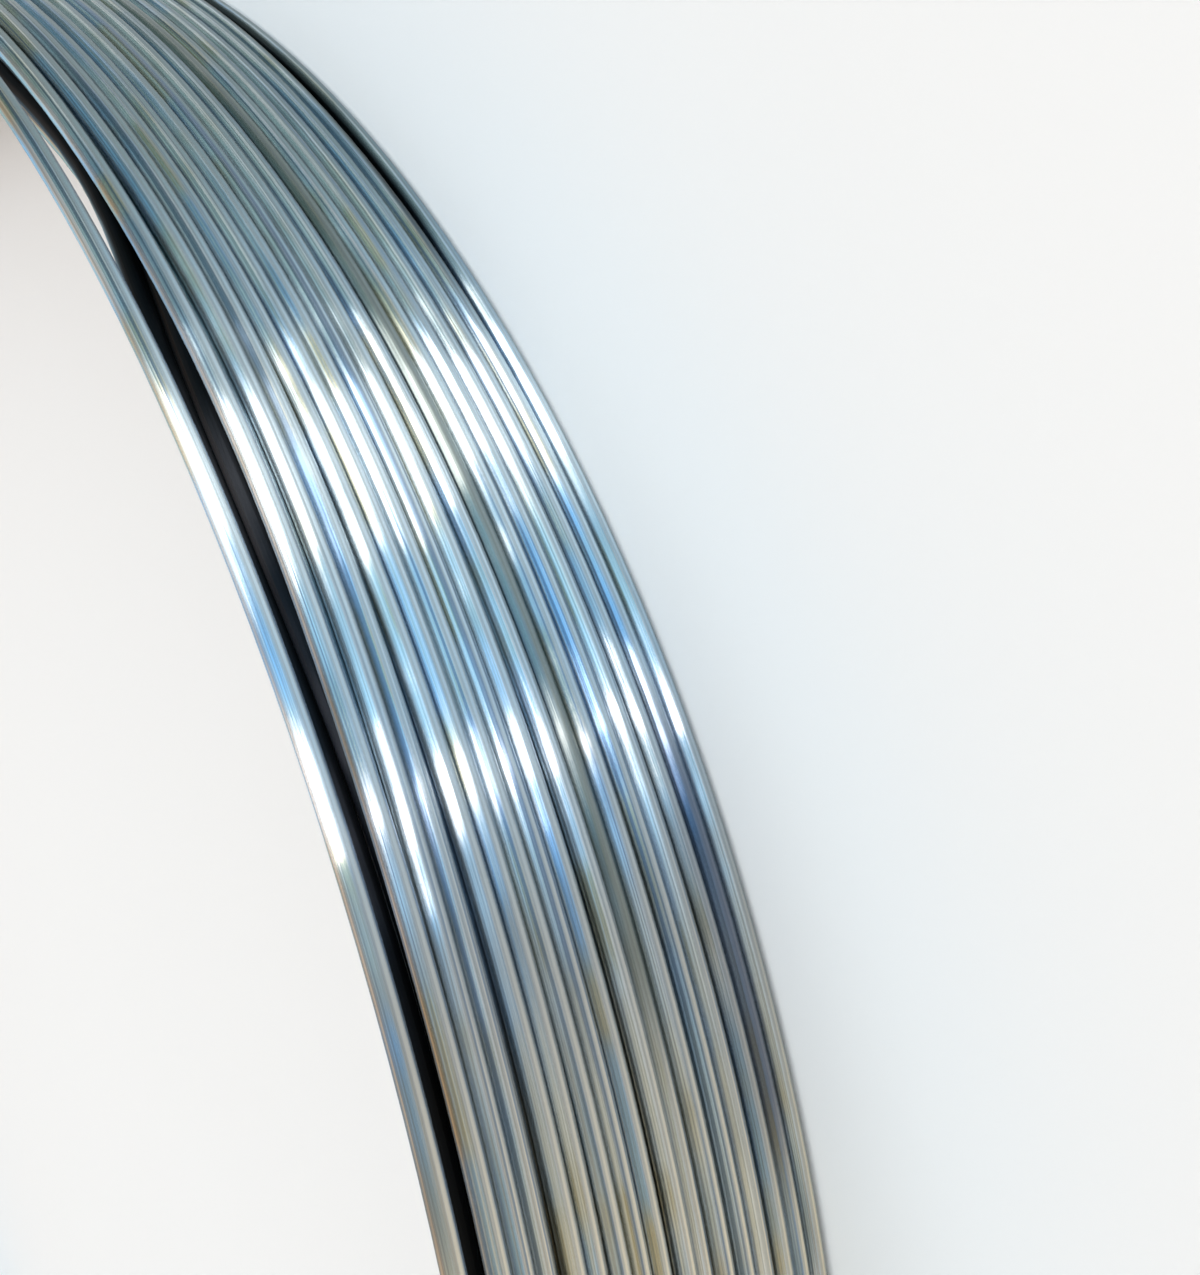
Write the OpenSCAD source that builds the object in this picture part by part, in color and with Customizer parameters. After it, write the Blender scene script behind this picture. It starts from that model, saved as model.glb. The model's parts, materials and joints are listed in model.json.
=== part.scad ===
// Coil of bright silver wire, wound tight on a round former, taken off it and laid flat.
// The origin is on the coil's axis at the level that the coil lies on, and +Z is up the axis.
// The wound turns are one turned solid with its bore. The layers bed in each other's grooves,
// so every second layer sits half a turn higher and holds one turn fewer. The layers next to the
// bore stop short of both ends, so the coil's inner corners are cut back.
// The last turn has sprung clear of the upper end and runs above it.

/* [Wire] */
// Diameter of the wire
wire_d = 0.8; // [0.5:0.1:1.2]
// Slack between one turn and the next, along the axis
turn_slack = 0.075; // [0.01:0.005:0.1]

/* [Winding] */
// Diameter of the bore, which the former leaves
bore_d = 127; // [80:1:200]
// Turns side by side in the outermost layer
outer_turns = 16; // [10:1:24]
// Layers of turns from the bore to the outside
layers = 5; // [3:1:7]
// Turns left off each end of the innermost layer; each layer further out has one more of them
bore_trim = 2; // [0:1:3]
// Depth of the grooves that show between the turns
groove_depth = 0.24; // [0.16:0.02:0.24]
// How far the bore's plain wall reaches into the crests of the innermost turns
bore_skim = 0.04; // [0.02:0.01:0.06]

/* [Loose turn] */
// Clear gap between the coil's upper end and the loose turn
loose_gap = 0.6; // [0.2:0.1:0.9]

/* [Hidden] */
$fn = 96;

bore_r = bore_d / 2;
wire_r = wire_d / 2;
turn_pitch = wire_d + turn_slack;
// Turns bed at 60 degrees, so a layer steps in by the height of an equilateral triangle.
bed_angle = 60;
layer_pitch = turn_pitch * sin(bed_angle);

innermost_r = bore_r + wire_r - bore_skim;
outermost_r = innermost_r + (layers - 1) * layer_pitch;
top_turn_z = wire_r + (outer_turns - 1) * turn_pitch;
loose_turn_z = top_turn_z + wire_d + loose_gap;

// The solid core under the rim turns: it reaches this far past the centres of those turns.
core_reach = wire_r - groove_depth;

// Layer 0 is the outermost. Turn 0 is the lowest place in a layer, and odd layers have one place
// fewer. A layer near the bore fills only the places from its bottom turn to its top turn.
function bottom_turn(layer) = max(0, bore_trim - (layers - 1 - layer));
function top_turn(layer) = outer_turns - 1 - layer % 2 - bottom_turn(layer);

// Centre of a turn in the section.
function turn_centre(layer, turn) = [
    outermost_r - layer * layer_pitch,
    wire_r + (turn + (layer % 2) / 2) * turn_pitch
];

// Outline of the core: it runs from turn to turn along both ends, core_reach past their centres.
function core_outline() =
    let (
        core_r = outermost_r + core_reach,
        inner = layers - 1
    )
    concat(
        [[core_r, wire_r]],
        [for (layer = [0 : inner]) turn_centre(layer, bottom_turn(layer)) - [0, core_reach]],
        [[bore_r, turn_centre(inner, bottom_turn(inner))[1]]],
        [[bore_r, turn_centre(inner, top_turn(inner))[1]]],
        [for (layer = [inner : -1 : 0]) turn_centre(layer, top_turn(layer)) + [0, core_reach]],
        [[core_r, top_turn_z]]
    );

// Half of the winding cut lengthwise: the core, and the turns that show outside and on the ends.
module winding_section() {
    difference() {
        union() {
            polygon(core_outline());
            for (turn = [0 : outer_turns - 1])
                translate(turn_centre(0, turn)) circle(d = wire_d);
            for (layer = [1 : layers - 1])
                for (turn = [bottom_turn(layer), top_turn(layer)])
                    translate(turn_centre(layer, turn)) circle(d = wire_d);
        }
        square([bore_r, top_turn_z + wire_r]);
    }
}

module wound_turns() {
    rotate_extrude() winding_section();
}

module loose_turn() {
    rotate_extrude() translate([outermost_r, loose_turn_z]) circle(d = wire_d);
}

module wire_coil() {
    color("silver") {
        wound_turns();
        loose_turn();
    }
}

wire_coil();
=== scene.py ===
"""Coil of bright silver wire: one long wire wound in bedded layers, its last turn sprung clear.

The whole wire is worked out as one line, from its inner cut end in the bore to its outer cut
end, and then swept with a round section. It is shown as one piece a layer, and the loose turn.
"""
import json
import math

import bpy
import numpy as np
from bpy.props import FloatProperty, FloatVectorProperty, IntProperty, PointerProperty
from mathutils import Matrix, Vector


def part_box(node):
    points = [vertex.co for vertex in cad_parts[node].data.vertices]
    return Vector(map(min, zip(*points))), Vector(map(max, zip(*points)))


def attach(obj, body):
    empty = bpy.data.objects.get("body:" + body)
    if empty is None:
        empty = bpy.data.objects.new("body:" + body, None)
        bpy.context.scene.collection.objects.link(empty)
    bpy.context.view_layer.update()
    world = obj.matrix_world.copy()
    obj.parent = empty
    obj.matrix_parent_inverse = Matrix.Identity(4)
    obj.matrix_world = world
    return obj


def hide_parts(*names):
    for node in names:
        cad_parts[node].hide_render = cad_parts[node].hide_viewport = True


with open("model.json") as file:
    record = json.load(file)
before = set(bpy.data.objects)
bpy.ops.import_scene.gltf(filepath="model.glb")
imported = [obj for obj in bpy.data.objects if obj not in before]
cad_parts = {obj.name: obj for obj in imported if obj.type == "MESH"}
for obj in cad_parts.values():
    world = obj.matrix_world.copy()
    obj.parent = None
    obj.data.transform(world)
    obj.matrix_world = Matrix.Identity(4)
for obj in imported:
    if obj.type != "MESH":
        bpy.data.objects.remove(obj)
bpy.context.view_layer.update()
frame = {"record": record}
COIL_LOW, COIL_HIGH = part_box("wire_coil")

bl_info = {
    "name": "Silver wire coil",
    "version": (1, 0, 0),
    "blender": (4, 5, 0),
    "location": "View3D > Sidebar > Wire coil",
    "description": "Winds a coil of bright silver wire and sets the stage for it",
    "category": "Add Mesh",
}

MM = 0.001
NODE = "wire_coil"

OUTSIDE_R = (COIL_HIGH.x - COIL_LOW.x) / 2
TOP_Z = COIL_HIGH.z
BORE_R = frame["record"]["mounts"][0]["dims"]["r_mm"] * MM

# The wire steps over to its next turn in the last part of each turn, on the far side of the coil.
STATIONS = 240
STEP_START = 0.88
SEAM_ANGLE = math.radians(141.6)

# The loose turn comes down in the last LOOSE_FALL of a turn and is cut at LOOSE_END of it.
LOOSE_END = 0.86
LOOSE_FALL = 0.1

# How far the turns are pressed down, as shares of their height: all round, on the flank to one
# side of the front (the outer layers down, the inner ones up), and in one spot of the flank
# (the innermost layer, and the others below the second).
PRESS_ROUND = 0.006
PRESS_FLANK = (0.072, -0.16)
PRESS_SPOT = (0.8, 1.15)

# Rounds of settling: those that still draw the turns to their places, and those that don't.
LOOSE_ROUNDS = 70
LAST_ROUNDS = 12

# Turns of the outermost layer, counted from the floor, that bed deeper than the others.
SUNK_TURNS = ((3, 0.05 * MM), (6, 0.22 * MM), (9, 0.05 * MM), (12, 0.08 * MM))

# Gap that opens above the lowest turn, to one side of the front.
FLOOR_GAP = 0.35 * MM

# Heights between which the near-black painted shade in that gap fades in, and then out again.
GAP_SHADE_HEIGHTS = ((0.55 * MM, 0.75 * MM), (1.35 * MM, 1.6 * MM))

# Turns of the outermost layer painted darker as shade: the turn, counted from the floor, the x
# positions that its painted shade fades in and out between, how strong it is, and its colour.
SHADED_TURNS = (
    (6, -0.01, 0.06, 0.7, (0.15, 0.17, 0.14)),
    (2, -0.016, 0.004, 0.3, (0.07, 0.1, 0.17)),
    (1, -0.016, 0.006, 0.75, (0.07, 0.1, 0.17)),
)

# Lengths over which those painted shades fade in and out, across the coil and along the wire.
FADE_ACROSS = 6 * MM
FADE_ALONG = 2 * MM

# Half of the floor's side.
FLOOR_REACH = 3.0

# The camera, in units of the outer turns' centre radius: its distance from the axis' foot, its
# rise as an angle, the point it looks at, and its roll.
EYE_DISTANCE = 1.70794
EYE_RISE = 0.32123
AIM = (0.14254, -0.72247, -0.1915)
ROLL = 1.78905

# Colours of the room from its -X side to its +X side, at shares of the way, and of the upper
# part of its back.
WALLS = (
    (0.12, (0.7, 0.6, 0.5)), (0.24, (0.55, 0.48, 0.34)), (0.38, (0.42, 0.41, 0.36)),
    (0.46, (0.38, 0.48, 0.55)), (0.56, (0.45, 0.88, 1.25)), (0.75, (0.52, 0.9, 1.15)),
    (0.88, (0.29, 0.44, 0.46)), (1.0, (0.13, 0.2, 0.19)))
BACK_WALL = (0.8, 0.5, 0.3)

# Long windows in the room, each an arch square to the wire at one place of the coil: the
# angle of that place from the front, the rise of the arch along the wire there, its half
# width, the softness of its edges, and its colour.
WINDOWS = (
    (math.radians(13.3), 0.465, 0.078, 0.045, (4.7, 4.65, 4.55)),
    (math.radians(2.9), 0.115, 0.03, 0.015, (6.4, 6.0, 6.0)),
)


# ---------------------------------------------------------------- settings

class CoilSettings(bpy.types.PropertyGroup):
    """Sizes of the wire and of the winding."""

    wire_d: FloatProperty(
        name="Wire diameter", description="Diameter of the wire",
        default=0.8 * MM, unit="LENGTH", subtype="DISTANCE", precision=5)
    turn_slack: FloatProperty(
        name="Slack", description="Slack between one turn and the next, along the axis",
        default=0.075 * MM, unit="LENGTH", subtype="DISTANCE", precision=5)
    loose_gap: FloatProperty(
        name="Loose gap", description="Clear gap between the winding and the loose turn",
        default=0.6 * MM, unit="LENGTH", subtype="DISTANCE", precision=5)
    outer_turns: IntProperty(
        name="Outer turns", description="Turns side by side in the outermost layer", default=16)
    layers: IntProperty(
        name="Layers", description="Layers of turns from the bore to the outside", default=5)
    bore_trim: IntProperty(
        name="Bore trim", description="Turns left off each end of the innermost layer", default=2)
    wander: FloatProperty(
        name="Wander", description="How far a turn strays up and down from its place",
        default=0.17 * MM, unit="LENGTH", subtype="DISTANCE", precision=5)


class FinishSettings(bpy.types.PropertyGroup):
    """Colours of the silver."""

    bright: FloatVectorProperty(
        name="Bright silver", description="Colour of the clean metal",
        default=(0.82, 0.88, 0.9), subtype="COLOR", size=3)
    cool: FloatVectorProperty(
        name="Cool tint", description="Bluish film on some lengths of the wire",
        default=(0.4, 0.6, 0.84), subtype="COLOR", size=3)
    warm: FloatVectorProperty(
        name="Warm tint", description="Yellowish film on some lengths of the wire",
        default=(0.62, 0.6, 0.46), subtype="COLOR", size=3)
    # Grey of some random lengths and of the drawing lines; the same colour is painted as shade
    # towards the underside of the wire and mixed into its painted reflection.
    dull_and_underside_shade: FloatVectorProperty(
        name="Dull film", description="Grey film on some lengths and in the drawing lines",
        default=(0.26, 0.3, 0.33), subtype="COLOR", size=3)
    # Painted shade in the crevices of the outer turns, where they lie together.
    crevice_shade: FloatVectorProperty(
        name="Crevice", description="Film on the outer turns where they lie together",
        default=(0.5, 0.58, 0.64), subtype="COLOR", size=3)
    navy: FloatVectorProperty(
        name="Navy", description="Dark streaks along the wire",
        default=(0.13, 0.2, 0.3), subtype="COLOR", size=3)
    # Near-black painted shade: on the buried layers, where their turns part or lie close, and in
    # the gap above the lowest turns.
    painted_shade: FloatVectorProperty(
        name="Tarnish", description="Dark film where the turns lie against each other",
        default=(0.02, 0.022, 0.026), subtype="COLOR", size=3)


class StageSettings(bpy.types.PropertyGroup):
    """Floor and camera."""

    floor: FloatVectorProperty(
        name="Floor", description="Colour of the floor",
        default=(0.93, 0.93, 0.93), subtype="COLOR", size=3)
    lens: FloatProperty(
        name="Lens", description="Focal length of the camera, in millimetres", default=42.42)


# ---------------------------------------------------------------- the line of the wire

def ease(x, low, high):
    """Rises smoothly from 0 at low to 1 at high: 3t^2 - 2t^3 of the clipped share t."""
    share = np.clip((x - low) / (high - low), 0.0, 1.0)
    return share * share * (3.0 - 2.0 * share)


def front_angle():
    """Degrees from the front at every station, positive ahead along the wire."""
    share = np.arange(STATIONS) / STATIONS
    return (np.degrees(SEAM_ANGLE) + 360 * share + 90 + 180) % 360 - 180


def wander(turns, seed):
    """A sum of four sines of the distance run in turns, with seeded phases, about one high."""
    rng = np.random.default_rng(seed)
    waves = ((1.37, 1.0), (2.41, 0.8), (3.83, 0.6), (5.61, 0.35))
    return sum(a * np.sin(2 * np.pi * (f * turns + rng.uniform())) for f, a in waves)


class Winding:
    """Centres of every turn at every station round the coil, as radius and height."""

    def __init__(self, sizes):
        self.wire_r = sizes.wire_d / 2
        self.pitch = sizes.wire_d + sizes.turn_slack
        self.layer_pitch = self.pitch * math.sin(math.radians(60))
        self.outer_r = OUTSIDE_R - self.wire_r
        self.inner_r = BORE_R + self.wire_r
        self.loose_z = TOP_Z - self.wire_r
        self.top_z = self.loose_z - sizes.loose_gap - sizes.wire_d
        self.layers = []
        self.places = self.plan(sizes)
        self.centres = self.settle(sizes.wander)

    def plan(self, sizes):
        """Places of the turns in winding order. Layers go up and down in turn, the outermost
        goes up, and odd layers sit half a pitch higher and hold one turn fewer."""
        places = []
        for layer in range(sizes.layers - 1, -1, -1):
            trim = max(0, sizes.bore_trim - (sizes.layers - 1 - layer))
            rows = np.arange(trim, sizes.outer_turns - layer % 2 - trim)
            if layer % 2:
                rows = rows[::-1]
            radius = np.full(len(rows), self.outer_r - layer * self.layer_pitch)
            height = self.wire_r + (rows + (layer % 2) / 2) * self.pitch
            self.layers.append((layer, sum(len(p) for p in places), len(rows)))
            places.append(np.stack([radius, height], 1))
        return np.vstack(places)

    def press(self):
        """How far the turns are pressed down, as a share of their height, by layer and
        station: a little all round, more to one side of the front, and most in one spot."""
        side = front_angle()
        flank = ease(side, 2, 17) * ease(-side, -46, -31)
        spot = ease(side, 25.5, 26.5) * ease(-side, -29.9, -28.9)
        layer = np.concatenate([np.full(count, layer) for layer, _, count in self.layers])
        depth = np.select([layer == layer.max(), layer > 1], PRESS_SPOT, 0.0)
        side_share = np.where(layer > 1, PRESS_FLANK[1], PRESS_FLANK[0])
        return PRESS_ROUND + side_share[:, None] * flank[None] + depth[:, None] * spot[None]

    def settle(self, stray):
        """Starts each turn at its place plus a wander, then pushes touching turns apart and
        straightens the wire by turns, as round wires bed under tension."""
        count = len(self.places)
        share = np.arange(STATIONS) / STATIONS
        step = ease(share, STEP_START, 1.0)[None, :, None]
        loose = np.array([[self.outer_r, self.loose_z]])
        following = np.vstack([self.places[1:], loose])
        target = self.places[:, None] * (1 - step) + following[:, None] * step
        run = np.arange(count)[:, None] + share[None]
        target[..., 1] -= self.press() * (target[..., 1] - self.wire_r)
        target[..., 1] += stray * wander(run, 3)
        target[..., 0] += 0.4 * stray * wander(run, 4)
        first_outer = self.layers[-1][1]
        side = front_angle()
        spread = ease(side, 18, 25) * ease(-side, -50, -38)
        lifted = np.concatenate([np.full(turns, layer < 2) for layer, _, turns in self.layers])
        lifted[first_outer] = False
        target[lifted, :, 1] += FLOOR_GAP * spread
        lowest = slice(first_outer, first_outer + 2)
        target[lowest, :, 1] -= stray * wander(run[lowest], 3) * spread
        for row, depth in SUNK_TURNS:
            target[first_outer + row, :, 0] -= depth * (1 + 0.4 * wander(run[row], 60 + row))
        gaps = np.linalg.norm(self.places[:, None] - self.places[None], axis=2)
        first, second = np.where(np.triu(gaps < 2.1 * self.pitch, 1))
        joins = np.zeros((count, len(first)))
        joins[first, np.arange(len(first))] = 1
        joins[second, np.arange(len(first))] = -1
        roof = np.full((count, STATIONS), self.top_z)
        roof[-1] = np.maximum(target[-1, :, 1], self.top_z)

        def part(pos, weight):
            """Moves each pair that is closer than a wire's diameter apart along its line, and
            spreads each move over a few stations along the wire."""
            apart = pos[first] - pos[second]
            distance = np.sqrt((apart ** 2).sum(2)) + 1e-12
            push = np.clip(2 * self.wire_r - distance, 0, None) * 0.5 * weight / distance
            move = np.tensordot(joins, apart * push[..., None], 1).reshape(-1, 2)
            for _ in range(2):
                move[2:-2] = (move[:-4] + move[1:-3] + move[2:-2] + move[3:-1] + move[4:]) / 5
            pos = pos + move.reshape(pos.shape)
            radius = np.clip(pos[..., 0], self.inner_r, self.outer_r)
            height = np.clip(pos[..., 1], self.wire_r, roof)
            return np.stack([radius, height], 2)

        def straighten(pos):
            """Averages each station with its two neighbours along the wire."""
            line = pos.reshape(-1, 2).copy()
            line[1:-1] = 0.25 * line[:-2] + 0.5 * line[1:-1] + 0.25 * line[2:]
            return line.reshape(pos.shape)

        pos = target.copy()
        for i in range(LOOSE_ROUNDS):
            pos += 0.2 * (1 - i / LOOSE_ROUNDS) * (target - pos)
            pos = straighten(straighten(pos))
            pos = part(part(pos, 0.8), 0.8)
        for _ in range(LAST_ROUNDS):
            pos = straighten(pos)
            pos = part(part(part(pos, 0.8), 0.8), 0.8)
        return self.add_loose(straighten(pos))

    def add_loose(self, pos):
        """The loose turn runs level above the winding and comes down on it at its cut end."""
        share = np.arange(STATIONS) / STATIONS
        down = self.top_z + 2 * self.wire_r
        fall = ease(share, LOOSE_END - LOOSE_FALL, LOOSE_END)
        height = self.loose_z + (down - self.loose_z) * fall
        line = np.stack([np.full(STATIONS, self.outer_r), height], 1)
        return np.vstack([pos, line[None]])

    def clearance(self, turn, sides):
        """Distance from the surface of one turn to the nearest other turn's surface, at every
        station and section angle: the least distance to another centre, less the radius."""
        angle = 2 * np.pi * np.arange(sides) / sides
        ray = self.wire_r * np.stack([np.cos(angle), np.sin(angle)], 1)
        skin = self.centres[turn][:, None] + ray[None]
        others = np.delete(self.centres, turn, 0)
        near = np.abs(others - self.centres[turn][None]).max((1, 2)) < 4 * self.pitch
        apart = np.linalg.norm(skin[None] - others[near][:, :, None], axis=3)
        return apart.min(0) - self.wire_r


# ---------------------------------------------------------------- meshes

def section_frames(line):
    """Two directions square to the line at each station: outward, away from the coil's axis,
    and across, their cross product with the line's own direction."""
    tangent = np.gradient(line, axis=0)
    tangent /= np.linalg.norm(tangent, axis=1)[:, None]
    outward = line * (1.0, 1.0, 0.0)
    outward -= (outward * tangent).sum(1)[:, None] * tangent
    outward /= np.linalg.norm(outward, axis=1)[:, None]
    across = np.cross(outward, tangent)
    return outward, across


def tube_mesh(name, line, outward, across, run, radius, sides, clearance):
    """Mesh of a round tube along a line: centre + radius * (cos a * outward + sin a * across)
    for section angles a, quads between the rows, and a flat cap at each end. Its UV map holds
    metres along the wire and the share of the way round it."""
    rows = len(line)
    angle = 2 * np.pi * np.arange(sides) / sides
    ray = (np.cos(angle)[None, :, None] * outward[:, None]
           + np.sin(angle)[None, :, None] * across[:, None])
    points = (line[:, None] + radius * ray).reshape(-1, 3)
    i, j = np.meshgrid(np.arange(rows - 1), np.arange(sides), indexing="ij")
    k = (j + 1) % sides
    quads = np.stack([i * sides + j, (i + 1) * sides + j, (i + 1) * sides + k, i * sides + k], 2)
    quads = quads.reshape(-1, 4)
    first_cap = np.arange(sides)
    last_cap = (rows - 1) * sides + np.arange(sides)[::-1]
    corners = np.concatenate([quads.ravel(), first_cap, last_cap])
    totals = np.concatenate([np.full(len(quads), 4), [sides, sides]])
    starts = np.concatenate([[0], np.cumsum(totals)[:-1]])
    along = np.stack([run[i], run[i + 1], run[i + 1], run[i]], 2).ravel()
    around = np.stack([j, j, j + 1, j + 1], 2).ravel() / sides
    along = np.concatenate([along, np.full(sides, run[0]), np.full(sides, run[-1])])
    around = np.concatenate([around, angle / (2 * np.pi), angle[::-1] / (2 * np.pi)])

    mesh = bpy.data.meshes.new(name)
    mesh.vertices.add(len(points))
    mesh.vertices.foreach_set("co", points.ravel())
    mesh.loops.add(len(corners))
    mesh.loops.foreach_set("vertex_index", corners)
    mesh.polygons.add(len(totals))
    mesh.polygons.foreach_set("loop_start", starts)
    smooth = np.ones(len(totals), bool)
    smooth[-2:] = False
    mesh.polygons.foreach_set("use_smooth", smooth)
    mesh.update(calc_edges=True)
    uv = mesh.uv_layers.new(name="wire")
    uv.data.foreach_set("uv", np.stack([along, around], 1).ravel())
    room = mesh.attributes.new("clearance", "FLOAT", "POINT")
    room.data.foreach_set("value", (clearance / MM).ravel())
    mesh.validate()
    return mesh


def show(name, mesh, material):
    """Puts a finished piece in the scene, riding on the coil's body in place of the CAD coil."""
    piece = bpy.data.objects.new(name, mesh)
    bpy.context.scene.collection.objects.link(piece)
    piece.data.materials.append(material)
    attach(piece, "root")
    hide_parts(NODE)
    return piece


# ---------------------------------------------------------------- shader nodes

class Value:
    """A number socket that Python's operators work on by adding Math nodes."""

    def __init__(self, graph, socket):
        self.graph = graph
        self.socket = socket

    def math(self, operation, *others):
        values = dict(enumerate((self,) + others))
        return self.graph.add("ShaderNodeMath", {"operation": operation}, values)

    def __add__(self, other):
        return self.math("ADD", other)

    __radd__ = __add__

    def __mul__(self, other):
        return self.math("MULTIPLY", other)

    __rmul__ = __mul__

    def __sub__(self, other):
        return self.math("SUBTRACT", other)

    def __rsub__(self, other):
        return (self * -1.0) + other

    def cosine(self):
        return self.math("COSINE")

    def sine(self):
        return self.math("SINE")

    def ramp(self, low, high, start=0.0, end=1.0):
        """Rises smoothly from start at low to end at high."""
        return self.graph.add(
            "ShaderNodeMapRange", {"interpolation_type": "SMOOTHSTEP"},
            {0: self, 1: low, 2: high, 3: start, 4: end})


class Graph:
    """Builds a node tree, one node a call."""

    def __init__(self, tree):
        self.tree = tree
        tree.nodes.clear()

    def add(self, kind, settings=None, values=None, output=0):
        """A new node: its settings, then the values or links of its sockets."""
        node = self.tree.nodes.new(kind)
        for key, value in (settings or {}).items():
            if key == "stops":
                self.set_stops(node.color_ramp, value)
            else:
                setattr(node, key, value)
        for key, value in (values or {}).items():
            if isinstance(value, Value):
                self.tree.links.new(value.socket, node.inputs[key])
            else:
                node.inputs[key].default_value = value
        return Value(self, node.outputs[output]) if node.outputs else node

    @staticmethod
    def set_stops(ramp, stops):
        """Fills a colour ramp with (position, colour) stops."""
        while len(ramp.elements) < len(stops):
            ramp.elements.new(1.0)
        for element, (position, colour) in zip(ramp.elements, stops):
            element.position = position
            element.color = (*colour, 1.0)

    def mix(self, factor, first, second):
        """Blend of two colours."""
        return self.add(
            "ShaderNodeMix", {"data_type": "RGBA"}, {0: factor, 6: first, 7: second}, output=2)


def rgba(colour):
    """A colour setting with full alpha."""
    return (*colour, 1.0)


# Painted reflection on the wire's lower side: its colour at shares of the way across the coil,
# from the first to the second of the x positions given just below (metres).
UNDERSIDE_REFLECTION_SPAN = (-0.015, 0.04)
UNDERSIDE_REFLECTION = (
    (0.0, (0.78, 0.7, 0.54)), (0.2, (0.5, 0.5, 0.47)), (0.38, (0.42, 0.56, 0.66)),
    (0.54, (0.68, 0.8, 0.86)), (0.7, (0.34, 0.48, 0.57)), (0.8, (0.22, 0.32, 0.34)),
    (0.95, (0.14, 0.21, 0.21)))


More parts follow.
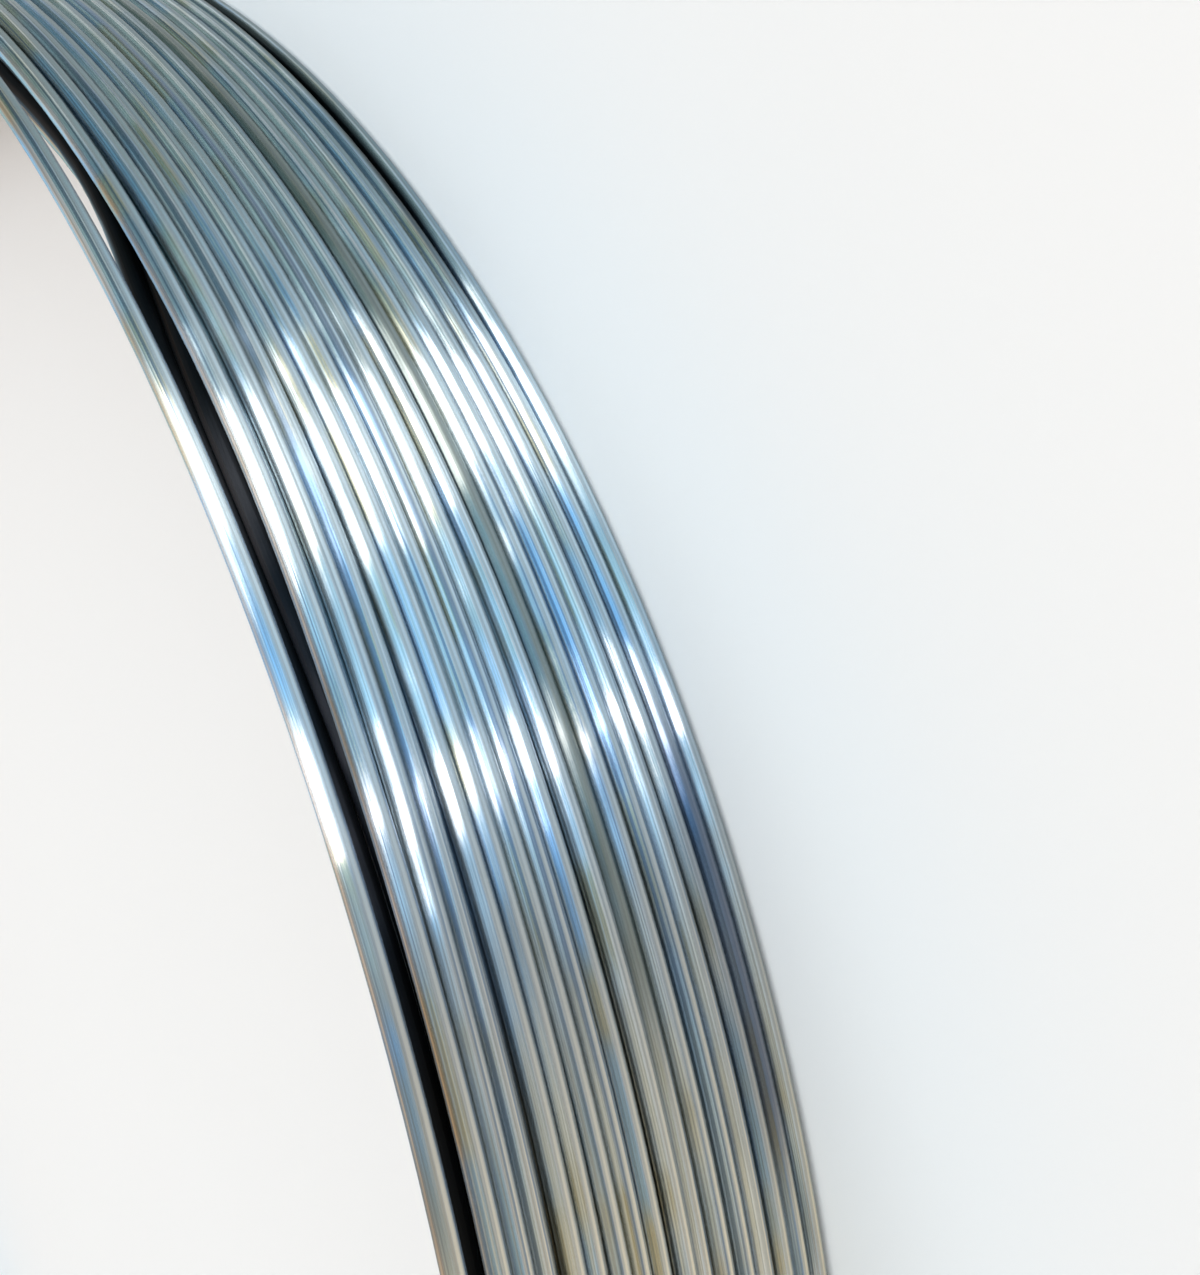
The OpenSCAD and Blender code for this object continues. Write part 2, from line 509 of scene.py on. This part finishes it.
def silver_material(name, finish, film, room_low, room_high, films=()):
    """Drawn silver: tints that drift along the wire, fine lines along it, a painted reflection on
    its lower side with painted shade towards the underside, the colour film painted as shade in
    its crevices between two values of the room to the next turn, painted shade on single turns,
    each with its start and end along the wire, and painted shade in the gap above the lowest
    turns."""
    material = bpy.data.materials.new(name)
    material.use_nodes = True
    g = Graph(material.node_tree)
    uv = g.add("ShaderNodeUVMap", {"uv_map": "wire"})
    along = g.add("ShaderNodeSeparateXYZ", values={0: uv}, output=0)
    around = g.add("ShaderNodeSeparateXYZ", values={0: uv}, output=1) * (2 * math.pi)
    across, up = around.cosine(), around.sine()
    room = g.add("ShaderNodeAttribute", {"attribute_name": "clearance"}, output=2)

    drift = g.add("ShaderNodeTexNoise", {"noise_dimensions": "1D"},
                  {"W": along * 9.0, "Detail": 2.0})
    patch = g.add("ShaderNodeTexNoise", {"noise_dimensions": "1D"},
                  {"W": along * 23.0 + 40.0, "Detail": 2.0})
    depth = g.add("ShaderNodeTexNoise", {"noise_dimensions": "1D"},
                  {"W": along * 14.0 + 90.0, "Detail": 2.0})
    skin = g.add("ShaderNodeCombineXYZ", values={0: along * 25.0, 1: across * 5.0, 2: up * 5.0})
    lines = g.add("ShaderNodeTexNoise", values={
        "Vector": skin, "Scale": 1.0, "Detail": 4.0, "Roughness": 0.7})
    scores = g.add("ShaderNodeTexNoise", values={
        "Vector": skin, "Scale": 0.7, "Detail": 1.0})
    streaks = g.add("ShaderNodeTexNoise", values={
        "Vector": skin, "Scale": 0.4, "Detail": 1.0})
    base = g.mix(drift.ramp(0.42, 0.6), rgba(finish.bright), rgba(finish.cool))
    base = g.mix(patch.ramp(0.48, 0.66), base, rgba(finish.warm))
    base = g.mix(streaks.ramp(0.52, 0.6, 0.0, 0.7), base, rgba(finish.bright))
    base = g.mix(depth.ramp(0.48, 0.72, 0.0, 0.5), base, rgba(finish.dull_and_underside_shade))
    base = g.mix(lines.ramp(0.36, 0.6, 0.5, 0.0), base, rgba(finish.dull_and_underside_shade))
    # How far the surface faces down and out: on that side the wire gets a painted reflection
    # coloured by x, then painted shade towards the underside.
    lower = across * 0.35 - up * 0.94 + lines * 0.4 - 0.2
    place = g.add("ShaderNodeTexCoord", output=3)
    side = g.add("ShaderNodeSeparateXYZ", values={0: place}, output=0)
    front = g.add("ShaderNodeSeparateXYZ", values={0: place}, output=1)
    share = (side - UNDERSIDE_REFLECTION_SPAN[0]) * (1.0 / (UNDERSIDE_REFLECTION_SPAN[1] - UNDERSIDE_REFLECTION_SPAN[0]))
    # Painted reflection on the lower side of the wire, its colour by x across the coil.
    under = g.add("ShaderNodeValToRGB", {"stops": UNDERSIDE_REFLECTION}, {"Fac": share})
    edge = g.mix(0.5, under, rgba(finish.dull_and_underside_shade))
    base = g.mix(lower.ramp(-0.05, 0.2), base, edge)
    base = g.mix(lower.ramp(0.3, 0.42), base, under)
    # Painted shade: darker towards the underside.
    base = g.mix(lower.ramp(0.55, 0.75, 0.0, 0.7), base, rgba(finish.dull_and_underside_shade))
    base = g.mix(streaks.ramp(0.34, 0.42, 0.75, 0.0), base, rgba(finish.navy))
    # Painted shade: the colour film where the room to the next turn passes from room_low to
    # room_high, full at the front of the coil and weaker towards its back.
    dark = room.ramp(room_low, room_high, 1.0, 0.0) + lines * 0.2 - 0.1
    dark = dark * front.ramp(-0.044, -0.03, 1.0, 0.3)
    base = g.mix(dark.ramp(0.1, 0.9), base, rgba(film))
    # Painted shade on single turns of the outermost layer, by stretch of wire and by x.
    for start, end, x_from, x_to, strength, colour in films:
        turn = (along.ramp(start, start + FADE_ALONG)
                * along.ramp(end - FADE_ALONG, end, strength, 0.0))
        part = (side.ramp(x_from, x_from + FADE_ACROSS)
                * side.ramp(x_to - FADE_ACROSS, x_to, 1.0, 0.0))
        base = g.mix(turn * part, base, rgba(colour))
    # Near-black painted shade in the gap above the lowest turns, at the front of the coil on its
    # +x side.
    height = g.add("ShaderNodeSeparateXYZ", values={0: place}, output=2)
    gap_shade = height.ramp(*GAP_SHADE_HEIGHTS[0], 0.0, 1.0) * height.ramp(*GAP_SHADE_HEIGHTS[1], 1.0, 0.0)
    gap_shade = gap_shade * side.ramp(0.018, 0.028) * front.ramp(-0.045, -0.03, 0.9, 0.0)
    base = g.mix(gap_shade, base, rgba(finish.painted_shade))
    rough = lines * 0.1 + 0.2 + dark.ramp(0.2, 0.9) * 0.1
    bends = g.add("ShaderNodeTexNoise", {"noise_dimensions": "1D"},
                  {"W": along * 36.0, "Detail": 1.0})
    bent = g.add("ShaderNodeBump", values={"Distance": 0.15 * MM, "Height": bends})
    bump = g.add("ShaderNodeBump", values={
        "Distance": 0.02 * MM, "Height": scores, "Normal": bent})
    shader = g.add("ShaderNodeBsdfPrincipled", values={
        "Base Color": base, "Metallic": 1.0, "Roughness": rough, "Normal": bump,
        "Anisotropic": 1.0, "Anisotropic Rotation": 0.25})
    g.add("ShaderNodeOutputMaterial", values={"Surface": shader})
    return material


# ---------------------------------------------------------------- operators

def wire_line():
    """The wire's centre line in space, with its section frame and the metres run."""
    settings = bpy.context.scene.coil_sizes
    winding = Winding(settings)
    flat = winding.centres.reshape(-1, 2)
    theta = SEAM_ANGLE + 2 * np.pi * np.arange(len(flat)) / STATIONS
    line = np.stack([flat[:, 0] * np.cos(theta), flat[:, 0] * np.sin(theta), flat[:, 1]], 1)
    run = np.concatenate([[0.0], np.cumsum(np.linalg.norm(np.diff(line, axis=0), axis=1))])
    return winding, line, run


def wind(start, count, name, sides, material, last=None):
    """Makes one piece of the wire, from turn start for count turns."""
    winding, line, run = COIL["winding"], COIL["line"], COIL["run"]
    outward, across = section_frames(line)
    room = np.vstack([winding.clearance(t, sides) for t in range(start, start + count)])
    stop = last if last is not None else (start + count) * STATIONS + 1
    span = slice(start * STATIONS, stop)
    if len(room) < stop - start * STATIONS:
        room = np.vstack([room, winding.clearance(start + count, sides)[:1]])
    room = room[:stop - start * STATIONS]
    mesh = tube_mesh(name, line[span], outward[span], across[span], run[span],
                     winding.wire_r, sides, room)
    return show(name, mesh, material)


COIL = {}


class WIRE_OT_layers(bpy.types.Operator):
    """Winds the layers of the coil, from the bore to the outside"""

    bl_idname = "wire.layers"
    bl_label = "Wound layers"

    def execute(self, context):
        finish = context.scene.coil_finish
        COIL["winding"], COIL["line"], COIL["run"] = wire_line()
        first_outer = COIL["winding"].layers[-1][1]
        films = []
        for row, *rest in SHADED_TURNS:
            start = (first_outer + row) * STATIONS
            films.append((COIL["run"][start], COIL["run"][start + STATIONS], *rest))
        face = silver_material(
            "silver_outer_turns", finish, finish.crevice_shade, -0.06, 0.03, films)
        # The second layer is painted near-black as shade where its turns part, the inner layers
        # where their turns lie within 0.6 mm of each other; both most strongly at the front of
        # the coil.
        bed = silver_material("silver_second_turns_painted_shade", finish, finish.painted_shade, 0.26, 0.16)
        deep = silver_material("silver_inner_turns_painted_shade", finish, finish.painted_shade, 0.6, 1.0)
        innermost = context.scene.coil_sizes.layers - 1
        materials = {0: face, 1: bed, innermost: face}
        for layer, start, count in COIL["winding"].layers:
            sides = {0: 24, innermost: 20}.get(layer, 12)
            wind(start, count, f"layer_{layer + 1}", sides, materials.get(layer, deep))
        return {"FINISHED"}


class WIRE_OT_loose_turn(bpy.types.Operator):
    """Runs the loose last turn above the winding, down to its cut end"""

    bl_idname = "wire.loose_turn"
    bl_label = "Loose turn"

    def execute(self, context):
        if not COIL:
            raise RuntimeError("wind the layers first")
        count = len(COIL["winding"].centres) - 1
        last = count * STATIONS + int(LOOSE_END * STATIONS)
        material = bpy.data.materials["silver_outer_turns"]
        wind(count, 1, "loose_turn", 32, material, last)
        return {"FINISHED"}


class WIRE_OT_stage(bpy.types.Operator):
    """Sets out the floor, the room and the camera"""

    bl_idname = "wire.stage"
    bl_label = "Stage"

    def execute(self, context):
        settings = context.scene.coil_stage
        scene = context.scene
        scene.view_settings.view_transform = "Standard"
        self.floor(settings)
        self.room(scene)
        self.camera(scene, settings)
        return {"FINISHED"}

    def floor(self, settings):
        """A flat pale floor under the coil, at the height of its lowest point."""
        mesh = bpy.data.meshes.new("floor")
        z = COIL_LOW.z
        corners = [(-FLOOR_REACH, -FLOOR_REACH, z), (FLOOR_REACH, -FLOOR_REACH, z),
                   (FLOOR_REACH, FLOOR_REACH, z), (-FLOOR_REACH, FLOOR_REACH, z)]
        mesh.from_pydata(corners, [], [(0, 1, 2, 3)])
        material = bpy.data.materials.new("floor")
        material.use_nodes = True
        g = Graph(material.node_tree)
        place = g.add("ShaderNodeTexCoord", output=3)
        grain = g.add("ShaderNodeTexNoise", values={"Vector": place, "Scale": 30.0})
        colour = g.mix(grain.ramp(0.3, 0.7, 0.0, 0.03), rgba(settings.floor), (0.8, 0.8, 0.8, 1))
        shader = g.add("ShaderNodeBsdfPrincipled", values={
            "Base Color": colour, "Roughness": 0.9, "Specular IOR Level": 0.1})
        g.add("ShaderNodeOutputMaterial", values={"Surface": shader})
        floor = bpy.data.objects.new("floor", mesh)
        floor.data.materials.append(material)
        bpy.context.scene.collection.objects.link(floor)

    def room(self, scene):
        """A room of soft light, blue to the front and warm behind, with the long windows."""
        world = bpy.data.worlds.new("room")
        scene.world = world
        world.use_nodes = True
        g = Graph(world.node_tree)
        way = g.add("ShaderNodeTexCoord", output=0)
        x, y, z = (g.add("ShaderNodeSeparateXYZ", values={0: way}, output=i) for i in range(3))
        walls = g.add("ShaderNodeValToRGB", {"stops": WALLS}, {"Fac": x * 0.5 + 0.5})
        room = g.mix(y.ramp(0.2, 0.5) * z.ramp(0.3, 0.6), walls, rgba(BACK_WALL))
        above = z.ramp(0.0, 0.1) * (y * -1.0).ramp(-0.45, -0.15)
        for angle, ahead, half, soft, colour in WINDOWS:
            level = x * math.cos(angle) + y * math.sin(angle) - ahead
            band = level.ramp(-half - soft, -half) * (level * -1.0).ramp(-half - soft, -half)
            room = g.mix(band * above, room, rgba(colour))
        back = g.add("ShaderNodeBackground", values={"Color": room, "Strength": 1.0})
        g.add("ShaderNodeOutputWorld", values={"Surface": back})

    def camera(self, scene, settings):
        """Looks from the front, outside and above, at the near part of the coil, and rolled.
        Places are in units of the outer turns' centre radius, from the height of their first
        turn's centre."""
        wire_r = scene.coil_sizes.wire_d / 2
        unit = OUTSIDE_R - wire_r
        base = Vector((0, 0, wire_r))
        way = Vector((0, -EYE_DISTANCE * math.cos(EYE_RISE), EYE_DISTANCE * math.sin(EYE_RISE)))
        eye = base + unit * way
        aim = base + unit * Vector(AIM)
        ahead = (aim - eye).normalized()
        right = ahead.cross(Vector((0, 0, 1))).normalized()
        down = ahead.cross(right)
        side = math.cos(ROLL) * right + math.sin(ROLL) * down
        fall = math.cos(ROLL) * down - math.sin(ROLL) * right
        camera = bpy.data.cameras.new("camera")
        camera.lens = settings.lens
        camera.sensor_width = 36.0
        camera.clip_start = 0.001
        camera.clip_end = 20.0
        thing = bpy.data.objects.new("camera", camera)
        turn = Matrix((side, -fall, -ahead)).transposed().to_4x4()
        thing.matrix_world = Matrix.Translation(eye) @ turn
        scene.collection.objects.link(thing)
        scene.camera = thing


class WIRE_PT_panel(bpy.types.Panel):
    """Lists the operators of the coil"""

    bl_idname = "WIRE_PT_panel"
    bl_label = "Wire coil"
    bl_space_type = "VIEW_3D"
    bl_region_type = "UI"
    bl_category = "Wire coil"

    def draw(self, context):
        for group in (context.scene.coil_sizes, context.scene.coil_finish,
                      context.scene.coil_stage):
            for key in group.__annotations__:
                self.layout.prop(group, key)
        for operator in OPERATORS:
            self.layout.operator(operator.bl_idname)


OPERATORS = (WIRE_OT_layers, WIRE_OT_loose_turn, WIRE_OT_stage)
CLASSES = (CoilSettings, FinishSettings, StageSettings) + OPERATORS + (WIRE_PT_panel,)


def register():
    """Registers the classes and hangs the settings on the scene."""
    for cls in CLASSES:
        bpy.utils.register_class(cls)
    bpy.types.Scene.coil_sizes = PointerProperty(type=CoilSettings)
    bpy.types.Scene.coil_finish = PointerProperty(type=FinishSettings)
    bpy.types.Scene.coil_stage = PointerProperty(type=StageSettings)


def unregister():
    """Takes the settings off the scene and unregisters the classes."""
    del bpy.types.Scene.coil_stage
    del bpy.types.Scene.coil_finish
    del bpy.types.Scene.coil_sizes
    for cls in reversed(CLASSES):
        bpy.utils.unregister_class(cls)


def main():
    """Builds the coil and its stage."""
    register()
    bpy.ops.wire.layers()
    bpy.ops.wire.loose_turn()
    bpy.ops.wire.stage()


if __name__ == "__main__":
    main()
